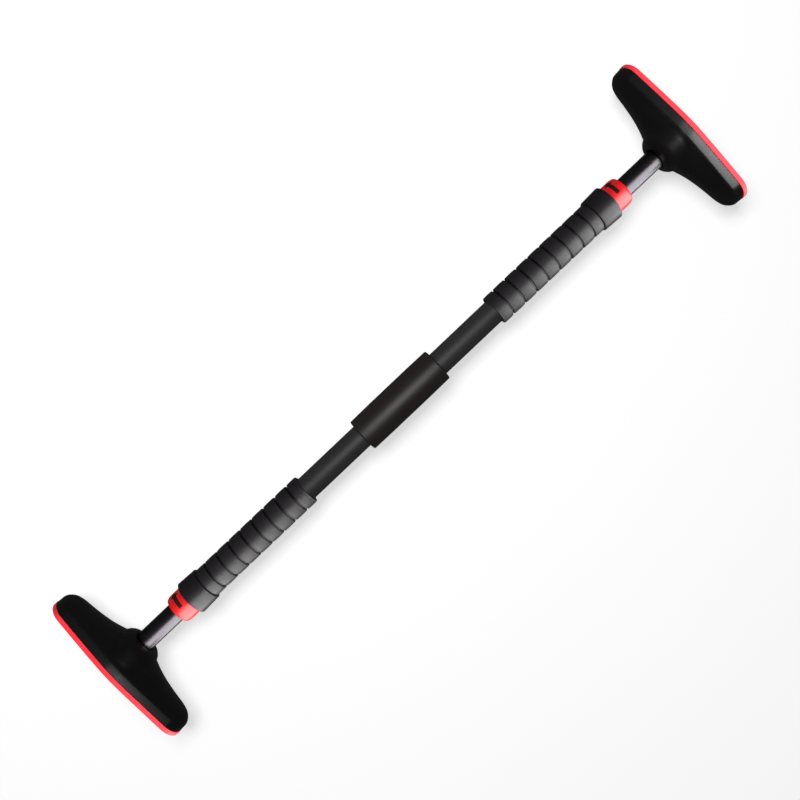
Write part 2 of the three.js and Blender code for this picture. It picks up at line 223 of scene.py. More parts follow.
def cut_out(piece: bpy.types.Object, cutters: Sequence[bpy.types.Object]) -> None:
    """Takes each cutter's shape out of a piece for good, and removes the cutters.

    Args:
        piece: The piece that is cut. Its mesh is replaced.
        cutters: Closed meshes.
    """
    for cutter in cutters:
        cut = piece.modifiers.new("cut", "BOOLEAN")
        cut.operation = "DIFFERENCE"
        cut.solver = "EXACT"
        cut.object = cutter
    view = bpy.context.evaluated_depsgraph_get()
    mesh = bpy.data.meshes.new_from_object(piece.evaluated_get(view))
    piece.modifiers.clear()
    before, piece.data = piece.data, mesh
    bpy.data.meshes.remove(before)
    for cutter in cutters:
        bpy.data.objects.remove(cutter)
    soften(piece)


def cross_drill(along: float, radius: float, ends: Pair, turn: float, side: Side) -> bpy.types.Object:
    """A round cutter that stands across the bar's axis.

    Args:
        along: Its place along the bar, on the right-hand half.
        radius: Its radius.
        ends: The distances from the bar's axis where it starts and ends.
        turn: Its direction round the axis, as an angle from straight up towards the foot's +Y end.
        side: The half that it is for.

    Returns:
        The cutter, a cylinder closed with a pole at each end.
    """
    angle = np.linspace(0, 2 * np.pi, HOLE_SIDES, endpoint=False)[None, :]
    reach = np.array(ends)[:, None]
    across = radius * np.sin(angle)
    y = across * math.cos(turn) + reach * math.sin(turn)
    z = reach * math.cos(turn) - across * math.sin(turn) + AXIS_HEIGHT
    x = along + radius * np.cos(angle) + 0 * reach
    return closed_mesh("cutter", capped(np.stack([x, y, z], -1)), side, ring=False)


def post(along: Sequence[float], radius: float, middle: float, side: Side) -> bpy.types.Object:
    """A round cutter that lies along the bar, beside its axis.

    Args:
        along: Where it starts and ends along the bar.
        radius: Its radius.
        middle: Its distance from the bar's axis along the foot.
        side: The half that it is for.

    Returns:
        The cutter, a cylinder closed with a pole at each end.
    """
    outline = np.array([[end, radius] for end in along])
    return closed_mesh("cutter", capped(turned(outline, HOLE_SIDES)) + (0, middle, 0), side, ring=False)


@dataclass(frozen=True)
class Span:
    """Where a round node sits on the right-hand half."""

    start: float
    end: float
    radius: float

    @classmethod
    def of(cls, node: str) -> Span:
        """Reads a node's ends along the bar, and its radius, from the frame."""
        low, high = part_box(node)
        return cls(low.x, high.x, (high.y - low.y) / 2)


# ----------------------------------------------------------------------------------------------------
# Shader graphs
# ----------------------------------------------------------------------------------------------------


@dataclass(frozen=True)
class Grain:
    """A cloudy noise: its blotches' size in metres, its detail, and how much finer it is along each axis."""

    size: float
    detail: float = 3
    stretch: tuple[float, float, float] = (1, 1, 1)


class Signal:
    """A shader socket that takes Python's arithmetic, one Math node for each operator."""

    def __init__(self, graph: Graph, socket: bpy.types.NodeSocket) -> None:
        """Wraps a socket of a graph."""
        self.graph = graph
        self.socket = socket

    def math(self, operation: str, *others: Number) -> Signal:
        """Puts the signal, and any others after it, through a Math node."""
        return self.graph.node("ShaderNodeMath", {"operation": operation}, dict(enumerate((self, *others))))

    def __add__(self, other: Number) -> Signal:
        """The sum."""
        return self.math("ADD", other)

    __radd__ = __add__

    def __sub__(self, other: Number) -> Signal:
        """The difference."""
        return self.math("SUBTRACT", other)

    def __rsub__(self, other: Number) -> Signal:
        """The difference, reflected."""
        return self.graph.node("ShaderNodeMath", {"operation": "SUBTRACT"}, {0: other, 1: self})

    def __mul__(self, other: Number) -> Signal:
        """The product."""
        return self.math("MULTIPLY", other)

    __rmul__ = __mul__

    def ramp(self, low: float, high: float) -> Signal:
        """Rises smoothly from 0 at one value to 1 at another.

        Args:
            low: The value where it leaves 0.
            high: The value where it reaches 1.

        Returns:
            The smooth step.
        """
        settings = {"interpolation_type": "SMOOTHSTEP"}
        inputs = {"Value": self, "From Min": low, "From Max": high}
        return self.graph.node("ShaderNodeMapRange", settings, inputs)


Number = Union[Signal, float]
Tint = Union[Signal, Colour]
MIDDLE = 0.5  # the middle of a noise, which runs from 0 to 1


def weigh(signals: Sequence[Signal], shares: Sequence[float]) -> Signal:
    """The signals, each times its share, added up."""
    first, *others = (signal * share for signal, share in zip(signals, shares))
    return sum(others, first)


def stray(signals: Sequence[Signal], shares: Sequence[float]) -> Signal:
    """How far the signals leave their middles, each times its share, added up."""
    return weigh([signal - MIDDLE for signal in signals], shares)


class Graph:
    """The node tree of a material or a world."""

    def __init__(self, owner: bpy.types.ID) -> None:
        """Starts an empty tree.

        Args:
            owner: The material or world that the tree belongs to.
        """
        self.owner = owner
        owner.use_nodes = True
        self.tree = owner.node_tree
        self.tree.nodes.clear()

    def node(self, kind: str, settings: dict[str, Any], inputs: dict[Any, Any], output: Any = 0) -> Signal:
        """Adds a node.

        Args:
            kind: The node's type.
            settings: Its properties, which are set first.
            inputs: The values or signals of its sockets, by name or number.
            output: The socket that is handed back.

        Returns:
            That output.
        """
        made = self.tree.nodes.new(kind)
        for name, value in settings.items():
            setattr(made, name, value)
        for name, value in inputs.items():
            if isinstance(value, Signal):
                self.tree.links.new(value.socket, made.inputs[name])
            else:
                made.inputs[name].default_value = value
        return Signal(self, made.outputs[output])

    def place(self, stretch: Sequence[float] = (1, 1, 1), centre: Sequence[float] = (0, 0, 0)) -> Signal:
        """Where a point of the surface is.

        Args:
            stretch: How much finer than true a pattern is along each axis.
            centre: The point that the pattern is measured from.

        Returns:
            The position as a vector.
        """
        place = self.node("ShaderNodeTexCoord", {}, {}, "Object")
        moved = tuple(-factor * start for factor, start in zip(stretch, centre))
        inputs = {"Vector": place, "Location": moved, "Scale": tuple(stretch)}
        return self.node("ShaderNodeMapping", {}, inputs)

    def noise(self, grain: Grain) -> Signal:
        """Cloudy noise from 0 to 1."""
        inputs = {"Vector": self.place(grain.stretch), "Scale": 1 / grain.size, "Detail": grain.detail}
        return self.node("ShaderNodeTexNoise", {}, inputs, "Fac")

    def cells(self, size: float) -> Signal:
        """The distance inside a field of cells of about a size in metres."""
        inputs = {"Vector": self.place(), "Scale": 1 / size}
        return self.node("ShaderNodeTexVoronoi", {}, inputs, "Distance")

    def coordinate(self, axis: str, centre: Sequence[float] = (0, 0, 0)) -> Signal:
        """One coordinate of the surface, measured from a point."""
        return self.node("ShaderNodeSeparateXYZ", {}, {"Vector": self.place(centre=centre)}, axis)

    def from_axis(self) -> Signal:
        """The distance from the bar's axis: the root of height squared plus Y squared.

        Returns:
            The distance in metres.
        """
        height = self.coordinate("Z", (0, 0, AXIS_HEIGHT))
        across = self.coordinate("Y")
        return (height * height + across * across).math("SQRT")

    def blend(self, share: Number, low: Tint, high: Tint) -> Signal:
        """A colour between two others."""
        first, last = (tint if isinstance(tint, Signal) else (*tint, 1.0) for tint in (low, high))
        return self.node("ShaderNodeMix", {"data_type": "RGBA"}, {0: share, 6: first, 7: last}, 2)

    def relief(self, height: Signal, depth: float) -> Signal:
        """A bumped normal, from a height of about 1 in all and what a height of 1 is worth in metres."""
        return self.node("ShaderNodeBump", {}, {"Height": height, "Distance": depth, "Strength": 1.0})

    def finish(self, colour: Tint, rough: Number, **sockets: Any) -> bpy.types.ID:
        """Ends a material with a Principled shader.

        Args:
            colour: Its base colour.
            rough: Its roughness.
            sockets: Its other sockets, named with underscores for spaces.

        Returns:
            The material.
        """
        inputs = {name.replace("_", " "): value for name, value in sockets.items()}
        inputs |= {"Base Color": colour, "Roughness": rough}
        return self.end("ShaderNodeOutputMaterial", self.node("ShaderNodeBsdfPrincipled", {}, inputs))

    def end(self, kind: str, shader: Signal) -> bpy.types.ID:
        """Joins a shader to an output node, and hands back the material or world.

        Args:
            kind: The output node's kind.
            shader: The shader that goes into its surface.

        Returns:
            The material or world.
        """
        output = self.tree.nodes.new(kind)
        self.tree.links.new(shader.socket, output.inputs["Surface"])
        return self.owner


# ----------------------------------------------------------------------------------------------------
# Finishes
# ----------------------------------------------------------------------------------------------------


@dataclass(frozen=True)
class Finish:
    """What every finish has: its two colours, and how rough it is."""

    name: str
    colour: Colour
    shade: Colour
    roughness: float

    def material(self) -> bpy.types.Material:
        """Builds the finish as a material."""
        raise NotImplementedError


@dataclass(frozen=True)
class PowderCoat(Finish):
    """A satin coat baked on steel: a fine orange peel, and slow changes of gloss along the tube."""

    cloud: Grain = Grain(60 * MM, 2, (0.4, 1, 1))
    peel: Grain = Grain(1.1 * MM, 2)
    speck: float = 0.6 * MM
    speck_edge: Pair = (0.22, 0.08)
    in_colour: Pair = (0.7, 0.25)
    in_gloss: Pair = (0.16, 0.1)
    depth: float = 0.012 * MM

    def material(self) -> bpy.types.Material:
        """Builds the coat from its peel, a slow cloud and fine specks.

        Returns:
            The material.
        """
        graph = Graph(bpy.data.materials.new(self.name))
        cloud = graph.noise(self.cloud)
        peel = graph.noise(self.peel)
        speck = graph.cells(self.speck).ramp(*self.speck_edge)
        colour = graph.blend(weigh((cloud, speck), self.in_colour), self.colour, self.shade)
        rough = self.roughness + stray((cloud, peel), self.in_gloss)
        return graph.finish(colour, rough, Normal=graph.relief(peel, self.depth), Specular_IOR_Level=0.5)


@dataclass(frozen=True)
class GlossCoat(Finish):
    """A thin glossy black coat on a drawn rod: faint draw lines along it, and rub marks round it."""

    lines: Grain = Grain(0.9 * MM, 3, (0.03, 1, 1))
    cloud: Grain = Grain(35 * MM, 2)
    rub: Grain = Grain(0.8 * MM, 2, (1, 0.05, 0.05))
    rub_edge: Pair = (0.62, 0.8)
    rub_gloss: float = 0.1
    in_colour: Pair = (0.6, 0.4)
    in_gloss: Pair = (0.12, 0.08)
    depth: float = 0.006 * MM

    def material(self) -> bpy.types.Material:
        """Builds the coat from stretched noise along the rod and sparse rings of rubbing round it.

        Returns:
            The material.
        """
        graph = Graph(bpy.data.materials.new(self.name))
        lines = graph.noise(self.lines)
        cloud = graph.noise(self.cloud)
        rub = graph.noise(self.rub).ramp(*self.rub_edge)
        colour = graph.blend(weigh((cloud, lines), self.in_colour), self.colour, self.shade)
        rough = self.roughness + stray((cloud, lines), self.in_gloss) + rub * self.rub_gloss
        steel = {"Metallic": 1.0, "Coat_Weight": 0.25, "Coat_Roughness": 0.2}
        return graph.finish(colour, rough, Normal=graph.relief(lines, self.depth), **steel)


@dataclass(frozen=True)
class Foam(Finish):
    """Closed-cell foam rubber: a skin of tiny cells with open pores, with painted shade in its pores and where
    it lies deep below its surface.
    """

    surface: float = 20.8 * MM
    # groove: the depths below the surface where the painted shade starts and where it is full
    groove: Pair = (0.3 * MM, 1.8 * MM)
    # painted shade: how dark the deepest parts are painted, as a share of the foam's colour
    darkness: float = 0.15
    cell: float = 0.75 * MM
    pore: float = 2.3 * MM
    pore_edge: Pair = (0.16, 0.05)
    crumple: Grain = Grain(5 * MM, 4)
    cloud: Grain = Grain(40 * MM, 3)
    in_colour: Pair = (0.6, 0.4)
    # shares of painted shade from the depth below the surface and from the pores
    in_dark: Pair = (0.8, 0.5)
    in_gloss: Pair = (0.12, 0.1)
    in_relief: tuple[float, float, float] = (0.5, 0.8, -0.9)
    depth: float = 0.06 * MM

    def material(self) -> bpy.types.Material:
        """Builds the skin from cell walls, sparse pores and a crumple, and paints shade into its colour below
        its surface and in its pores.

        Returns:
            The material.
        """
        graph = Graph(bpy.data.materials.new(self.name))
        walls = graph.cells(self.cell)
        pores = graph.cells(self.pore).ramp(*self.pore_edge)
        crumple = graph.noise(self.crumple)
        cloud = graph.noise(self.cloud)
        near, far = self.groove
        # painted shade: the colour darkens with depth below the surface, in the grooves and at the rims, where
        # real shade falls
        groove_shade_mask = graph.from_axis().ramp(self.surface - near, self.surface - far)
        painted_shade_colour = tuple(self.darkness * part for part in self.colour)
        skin = graph.blend(weigh((cloud, crumple), self.in_colour), self.colour, self.shade)
        # the pores get painted shade in the colour as well as their relief
        colour = graph.blend(weigh((groove_shade_mask, pores), self.in_dark).math("MINIMUM", 1.0), skin, painted_shade_colour)
        rough = self.roughness + stray((walls, cloud), self.in_gloss)
        normal = graph.relief(weigh((walls, crumple, pores), self.in_relief), self.depth)
        return graph.finish(colour, rough, Normal=normal, Specular_IOR_Level=0.5)


@dataclass(frozen=True)
class MouldedPlastic(Finish):
    """Injection-moulded plastic with a spark-eroded grain and slight flow marks."""

    specular: float = 0.5
    grain: Grain = Grain(0.5 * MM, 3)
    pit: float = 0.85 * MM
    flow: Grain = Grain(28 * MM, 4, (1, 0.5, 1))
    rub: Grain = Grain(9 * MM, 5)
    rub_edge: Pair = (0.58, 0.75)
    rub_shine: float = 0.05
    in_colour: Pair = (0.7, 0.3)
    in_gloss: Pair = (0.14, 0.12)
    in_relief: Pair = (0.6, 0.4)
    depth: float = 0.02 * MM

    def material(self) -> bpy.types.Material:
        """Builds the grain from fine cells over noise, with flow marks in colour and gloss.

        Returns:
            The material.
        """
        graph = Graph(bpy.data.materials.new(self.name))
        grain = graph.noise(self.grain)
        pits = graph.cells(self.pit)
        flow = graph.noise(self.flow)
        rubbed = graph.noise(self.rub).ramp(*self.rub_edge)
        colour = graph.blend(weigh((flow, grain), self.in_colour), self.colour, self.shade)
        rough = self.roughness + stray((flow, grain), self.in_gloss) - rubbed * self.rub_shine
        normal = graph.relief(weigh((grain, pits), self.in_relief), self.depth)
        return graph.finish(colour, rough, Normal=normal, Specular_IOR_Level=self.specular)


@dataclass(frozen=True)
class SoftRubber(Finish):
    """Matt coloured rubber: a chalky bloom, a fine leathery grain and small scuffs."""

    grain: Grain = Grain(0.8 * MM, 4)
    bloom: Grain = Grain(22 * MM, 4)
    scuff: Grain = Grain(3 * MM, 5, (1, 0.3, 1))
    scuff_edge: Pair = (0.6, 0.8)
    in_colour: Pair = (0.7, 0.4)
    bloom_gloss: float = 0.14
    scuff_gloss: float = 0.08
    depth: float = 0.02 * MM

    def material(self) -> bpy.types.Material:
        """Builds the rubber from fine grain, a slow bloom and small scuffs.

        Returns:
            The material.
        """
        graph = Graph(bpy.data.materials.new(self.name))
        grain = graph.noise(self.grain)
        bloom = graph.noise(self.bloom)
        scuff = graph.noise(self.scuff).ramp(*self.scuff_edge)
        colour = graph.blend(weigh((bloom, scuff), self.in_colour), self.colour, self.shade)
        rough = self.roughness + stray((bloom,), (self.bloom_gloss,)) + scuff * self.scuff_gloss
        return graph.finish(colour, rough, Normal=graph.relief(grain, self.depth), Specular_IOR_Level=0.25)


@dataclass(frozen=True)
class BareMetal(Finish):
    """Plated or turned metal: tool rings round the axis, a crystalline mottle, and rubbed patches."""

    rings: Grain = Grain(0.35 * MM, 2, (1, 0.04, 0.04))
    mottle: float = 4 * MM
    cloud: Grain = Grain(12 * MM, 4)
    in_colour: Pair = (0.5, 0.5)
    in_gloss: Pair = (0.2, 0.12)
    depth: float = 0.008 * MM

    def material(self) -> bpy.types.Material:
        """Builds the metal from fine rings along X, a cell mottle in its colour and cloudy gloss.

        Returns:
            The material.
        """
        graph = Graph(bpy.data.materials.new(self.name))
        rings = graph.noise(self.rings)
        cloud = graph.noise(self.cloud)
        mottle = graph.cells(self.mottle)
        colour = graph.blend(weigh((mottle, cloud), self.in_colour), self.colour, self.shade)
        rough = self.roughness + stray((cloud, rings), self.in_gloss)
        return graph.finish(colour, rough, Normal=graph.relief(rings, self.depth), Metallic=1.0)


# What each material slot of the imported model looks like.
FINISHES: dict[str, Finish] = {
    "bar_tube": PowderCoat("powder_coat", (0.018, 0.0182, 0.0192), (0.027, 0.0272, 0.0282), 0.5),
    "rod_steel": GlossCoat("gloss_coat", (0.066, 0.061, 0.068), (0.084, 0.078, 0.087), 0.38),
    "grip_foam": Foam("grip_foam", (0.0095, 0.0082, 0.0093), (0.0145, 0.0126, 0.0142), 0.472),
    "black_plastic": MouldedPlastic("black_plastic", (0.0065, 0.0052, 0.0065), (0.01, 0.0083, 0.01), 0.42),
    "mark_plastic": MouldedPlastic("mark_plastic", (0.022, 0.006, 0.005), (0.034, 0.009, 0.007), 0.5, 0.2),
    "red_plastic": MouldedPlastic("red_plastic", (0.60, 0.006, 0.009), (0.68, 0.010, 0.014), 0.4, 0.7),
    "pad_rubber": SoftRubber("pad_rubber", (0.80, 0.026, 0.040), (0.86, 0.040, 0.056), 0.56),
    "nylon": MouldedPlastic("nylon", (0.74, 0.71, 0.63), (0.80, 0.77, 0.70), 0.45),
    "zinc_steel": BareMetal("zinc_steel", (0.60, 0.61, 0.63), (0.70, 0.71, 0.72), 0.34),
    "brass": BareMetal("brass", (0.62, 0.43, 0.16), (0.72, 0.52, 0.22), 0.32),
}

# The two visible pieces that differ from the others of their slot.
SLEEVE_FOAM = Foam("sleeve_foam", (0.0115, 0.0090, 0.0080), (0.0165, 0.0130, 0.0116), 0.432, 23.2 * MM)
SHELL_PLASTIC = MouldedPlastic("shell_plastic", (0.004, 0.0034, 0.0036), (0.007, 0.006, 0.0064), 0.36, 0.4)

# Finishes so strong in colour that their glow on the floor would tint it.
QUIET = ("red_plastic", "pad_rubber")


class Dresser:
    """Puts finishes on pieces, and ties each piece to the body and the node that it stands for."""

    def __init__(self) -> None:
        """Reads which body and which material slot each node has."""
        record = frame["record"]
        self.bodies = {node: body for body, nodes in record["behaviour"]["bodies"].items() for node in nodes}
        self.slots = {part["node"]: part["material_slot"] for part in record["subparts"]}
        self.made: dict[str, bpy.types.Material] = {}
        self.replaced: set[str] = set()

    def paint(self, piece: bpy.types.Object, finish: Finish) -> None:
        """Gives a piece one finish, making its material the first time it is used.

        Args:
            piece: The piece.
            finish: What it is made of.
        """
        if finish.name not in self.made:
            self.made[finish.name] = finish.material()
        piece.data.materials.clear()
        piece.data.materials.append(self.made[finish.name])
        piece.visible_diffuse = finish.name not in QUIET

    def fit(
        self, piece: bpy.types.Object, node: str, finish: Finish | None = None
    ) -> None:
        """Makes a piece stand for a node.

        Args:
            piece: The finished mesh.
            node: The node that it stands for.
            finish: Its finish, or the one of the node's material slot.
        """
        slot = self.slots[node]
        self.paint(piece, finish or FINISHES[slot])
        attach(piece, self.bodies[node])
        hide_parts(node)
        self.replaced.add(node)
        log.info("%s rides on %s, %d faces", piece.name, self.bodies[node], len(piece.data.polygons))

    def dress_rest(self) -> None:
        """Gives every node that still shows the finish of its slot."""
        for node, cad in frame["nodes"].items():
            if node not in self.replaced:
                self.paint(cad, FINISHES[self.slots[node]])
                log.info("%s keeps its own mesh", node)


# ----------------------------------------------------------------------------------------------------
# The bar
# ----------------------------------------------------------------------------------------------------


@dataclass
class MainTube:
    """The steel hand tube, with its cross holes for the two anchor pins."""

    wall: float = 1.5 * MM
    edge: float = 0.35 * MM
    hole: float = 2.8 * MM
    hole_at: float = 30 * MM

    def build(self, dresser: Dresser) -> None:
        """Turns the tube and drills its holes.

        Args:
            dresser: Paints each piece and makes it stand for its node.
        """
        span = Span.of("outer_tube")
        bore = span.radius - self.wall
        corners = [(x, r, self.edge) for x, r in self.outline(span, bore)]
        tube = closed_mesh("hand_tube", turned(rounded(corners)))
        reach = span.radius + self.wall
        places = (self.hole_at, -self.hole_at)
        drills = [cross_drill(x, self.hole, (-reach, reach), math.pi / 2, Side.RIGHT) for x in places]
        cut_out(tube, drills)
        dresser.fit(tube, "outer_tube")

    @staticmethod
    def outline(span: Span, bore: float) -> list[Pair]:
        """The four corners of the wall's section."""
        return [(span.start, bore), (span.start, span.radius), (span.end, span.radius), (span.end, bore)]


@dataclass
class CentreSleeve:
    """The plain foam sleeve on the middle of the tube."""

    clearance: float = 0.3 * MM
    rim: float = 1.7 * MM
    swell: float = 0.35 * MM
    rim_steps: int = 8
    sides: int = 128

    def build(self, dresser: Dresser) -> None:
        """Turns the sleeve, whose outside swells slightly between its rounded rims.

        Args:
            dresser: Paints each piece and makes it stand for its node.
        """
        span = Span.of("centre_sleeve")
        bore = Span.of("outer_tube").radius + self.clearance
        shoulder = span.radius - self.swell
        corners = [
            (span.start, bore, self.clearance),
            (span.start, shoulder, self.rim),
            (span.start / 2, span.radius, span.end),
            (span.end / 2, span.radius, span.end),
            (span.end, shoulder, self.rim),
            (span.end, bore, self.clearance),
        ]
        sleeve = closed_mesh("sleeve", turned(rounded(corners, self.rim_steps), self.sides))
        dresser.fit(sleeve, "centre_sleeve", SLEEVE_FOAM)


@dataclass
class RibbedGrip:
    """A foam grip whose outside is cut into ribs by narrow round grooves."""

    side: Side
    grooves: int = 8
    first_rib: float = 16 * MM
    groove: float = 3.4 * MM
    floor: float = 1.9 * MM
    depth: float = 2.5 * MM
    shoulder: float = 0.6 * MM
    crown: float = 0.25 * MM
    crown_round: float = 100 * MM
    rim: float = 1.3 * MM
    clearance: float = 0.3 * MM
    steps: int = 5

    def build(self, dresser: Dresser) -> None:
        """Turns the grip from an outline with four rounded corners for each groove.

        Args:
            dresser: Paints each piece and makes it stand for its node.
        """
        span = Span.of("right_foam_grip")
        bore = Span.of("outer_tube").radius + self.clearance
        edge = span.radius - self.crown
        places = np.linspace(span.start + self.first_rib, span.end - self.first_rib, self.grooves)
        ends = [span.start, *places, span.end]
        corners = [(span.start, bore, self.clearance), (span.start, edge, self.rim)]
        for here, after in zip(ends, ends[1:]):
            corners.append(((here + after) / 2, span.radius, self.crown_round))
            if after < span.end:
                corners += self.groove_corners(after, edge, span.radius - self.depth)
        corners += [(span.end, edge, self.rim), (span.end, bore, self.clearance)]
        grip = closed_mesh(self.side.node("grip"), turned(rounded(corners, self.steps)), self.side)
        dresser.fit(grip, self.side.node("foam_grip"))

    def groove_corners(self, middle: float, edge: float, bottom: float) -> list[Corner]:
        """The corners of one groove: two rounded shoulders and two rounded floor corners.

        Args:
            middle: The groove's middle along the bar.
            edge: The radius of the ribs beside it.
            bottom: The radius of its floor.

        Returns:
            The four corners, each with its rounding radius.
        """
        tight = self.floor / 3
        return [
            (middle - self.groove / 2, edge, self.shoulder),
            (middle - self.floor / 2, bottom, tight),
            (middle + self.floor / 2, bottom, tight),
            (middle + self.groove / 2, edge, self.shoulder),
        ]


# ----------------------------------------------------------------------------------------------------
# The twist lock
# ----------------------------------------------------------------------------------------------------


@dataclass
class LockHousing:
    """The black cuff at the end of the tube, which flares outwards and has a spigot for the collar."""

    side: Side
    flare: float = 1.1 * MM
    spigot: float = 18 * MM
    spigot_length: float = 4 * MM
    bore: float = 16.3 * MM
    round: float = 1.0 * MM
    hole: float = 2.3 * MM
    hole_at: float = 345 * MM

    def build(self, dresser: Dresser) -> None:
        """Turns the cuff and drills the hole of its grub screw.

        Args:
            dresser: Paints each piece and makes it stand for its node.
        """
        span = Span.of("right_lock_housing")
        step = span.end - self.spigot_length
        fine = self.round / 3
        corners = [
            (span.start, self.bore, fine),
            (span.start, span.radius - self.flare, self.round),
            (step, span.radius, self.round),
            (step, self.spigot, fine),
            (span.end, self.spigot, fine),
            (span.end, self.bore, fine),
        ]
        cuff = closed_mesh(self.side.node("cuff"), turned(rounded(corners)), self.side)
        ends = self.bore - self.round, span.radius * OVERRUN
        cut_out(cuff, [cross_drill(self.hole_at, self.hole, ends, math.pi, self.side)])
        dresser.fit(cuff, self.side.node("lock_housing"))


@dataclass
class LockCollar:
    """The red twist collar, with a rounded outer rim and an arrow let into it."""

    side: Side
    rim_length: float = 9 * MM
    rim_drop: float = 2.25 * MM
    lip: float = 13.7 * MM
    lip_length: float = 5.7 * MM
    cone_start: float = 16 * MM
    cone_end: float = 14.9 * MM
    socket: float = 18.3 * MM
    socket_depth: float = 4 * MM
    edge: float = 0.35 * MM
    mark_turn: float = math.radians(35.5)
    mark_clearance: float = 0.3 * MM
    mark_foot: float = 19.2 * MM
    mark_top: float = 20.1 * MM
    mark_half_length: float = 11 * MM
    mark_shaft: float = 2.4 * MM
    mark_barb: float = 5.9 * MM
    mark_neck: float = 5.6 * MM
    mark_slant: float = 0.3 * MM
    mark_point: float = 0.1 * MM
    rim_rows: int = 14
    shaft_rows: int = 9
    barb_rows: int = 13

    def build(self, dresser: Dresser) -> None:
        """Turns the collar, cuts the arrow's recess and lays the arrow in it.

        Args:
            dresser: Paints each piece and makes it stand for its node.
        """
        span = Span.of("right_lock_collar")
        collar = closed_mesh(self.side.node("collar"), turned(self.outline(span)), self.side)
        gap = self.mark_clearance
        cut_out(collar, [self.arrow("cutter", (self.mark_foot - gap, self.mark_top + gap), gap)])
        dresser.fit(collar, self.side.node("lock_collar"))
        inlay = self.arrow(self.side.node("arrow"), (self.mark_foot, self.mark_top), 0)
        dresser.fit(inlay, self.side.node("arrow_inlay"))

    def outline(self, span: Span) -> np.ndarray:
        """The collar's section. Its rim is a quarter ellipse: length times sine, drop times cosine.

        Args:
            span: Where the collar sits.

        Returns:
            Points (along the bar, radius), shape (n, 2).
        """
        theta = np.linspace(0, np.pi / 2, self.rim_rows)
        rim = np.stack(
            [
                span.end - self.rim_length * (1 - np.sin(theta)),
                span.radius - self.rim_drop * (1 - np.cos(theta)),
            ],
            -1,
        )
        inside = rounded(
            [
                (span.end, span.radius - self.rim_drop, self.edge),
                (span.end, self.lip, self.edge),
                (span.end - self.lip_length, self.lip, self.edge),
                (span.end - self.lip_length, self.cone_end, self.edge),
                (span.start + self.socket_depth, self.cone_start, self.edge),
                (span.start + self.socket_depth, self.socket, self.edge),
                (span.start, self.socket, self.edge),
                (span.start, span.radius, self.edge),
            ]
        )
        return np.concatenate([inside, rim[:-1]])

    def arrow(self, name: str, radii: Pair, grow: float) -> bpy.types.Object:
        """An arrow that lies round the collar, as a closed surface between two radii.

        The columns go once round the arrow's section, and the rows run from its tail to its tip. A point's
        height over the axis is the root of radius squared less distance squared, and the whole is then
        turned about the axis to its place.

        Args:
            name: The object's name.
            radii: The radii of its foot and its top.
            grow: How much larger it is all round.

        Returns:
            The object.
        """
        near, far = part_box("right_arrow_inlay")
        low, high = radii
        tail, tip = -self.mark_half_length - grow, self.mark_half_length + grow
        neck = self.mark_neck - grow
        shaft, barb = self.mark_shaft + grow, self.mark_barb + grow
        along_shaft = np.linspace(tail, neck, self.shaft_rows)
        along_barb = np.linspace(neck + self.mark_slant, tip, self.barb_rows)
        run = np.concatenate([along_shaft, along_barb])
        narrowing = np.linspace(barb, self.mark_point, self.barb_rows)
        width = np.concatenate([np.full(self.shaft_rows, shaft), narrowing])
        across = np.stack([-width, 0 * width, width, width, 0 * width, -width], 1)
        radius = np.array([high, high, high, low, low, low])[None, :]
        along_arc = run[:, None] + 0 * radius
        up = np.sqrt(radius**2 - along_arc**2)
        y = along_arc * math.cos(self.mark_turn) + up * math.sin(self.mark_turn)
        z = up * math.cos(self.mark_turn) - along_arc * math.sin(self.mark_turn) + AXIS_HEIGHT
        grid = np.stack([(near.x + far.x) / 2 + across, y, z], -1)
        return closed_mesh(name, capped(grid), self.side, ring=False)


# ----------------------------------------------------------------------------------------------------
# The leg
# ----------------------------------------------------------------------------------------------------


@dataclass
class Rod:
    """The steel rod that slides out of the tube."""

    side: Side
    wall: float = 2 * MM
    edge: float = 0.5 * MM
    hole: float = 2.3 * MM
    hole_at: float = 270 * MM

    def build(self, dresser: Dresser) -> None:
        """Turns the rod and drills the hole of the nut's screw.

        Args:
            dresser: Paints each piece and makes it stand for its node.
        """
        span = Span.of("right_rod")
        bore = span.radius - self.wall
        corners = [(x, r, self.edge) for x, r in MainTube.outline(span, bore)]
        rod = closed_mesh(self.side.node("steel_rod"), turned(rounded(corners)), self.side)
        ends = bore / 2, span.radius * OVERRUN
        cut_out(rod, [cross_drill(self.hole_at, self.hole, ends, 0, self.side)])
        dresser.fit(rod, self.side.node("rod"))


@dataclass
class FootOutline:
    """The foot's outline, the same for its shell, its pad and its recess.

    Half the width is full as far as the flat, then falls by the taper times the distance past there to a
    power, and ends in a quarter ellipse. Distances are fractions of half the length.
    """

    flat: float = 0.07
    end: float = 0.17
    taper: float = 0.4
    power: float = 1.2

    def width(self, fraction: np.ndarray) -> np.ndarray:
        """Half the width at fractions of half the length, as a fraction of its greatest value.

        Args:
            fraction: Places along the foot, as fractions of half its length.

        Returns:
            Half the width at each place, from 0 to 1.
        """
        fraction = np.abs(fraction)
        taper = 1 - self.taper * np.maximum(0, fraction - self.flat) ** self.power
        into = np.maximum(0, fraction - 1 + self.end) / self.end
        return taper * np.sqrt(np.maximum(0, 1 - into**2))

    def ring(self, turn: np.ndarray, half_length: float, half_width: float) -> np.ndarray:
        """Points once round the outline: the cosine of the angle is the fraction of half the length.

        Args:
            turn: The angle of each column.
            half_length: Half the outline's length.
            half_width: Half its greatest width.

        Returns:
            Points (along the foot, across it), shape (columns, 2).
        """
        fraction = np.cos(turn)
        across = self.width(fraction) * half_width * np.sign(np.sin(turn).round(9))
        return np.stack([fraction * half_length, across], -1)


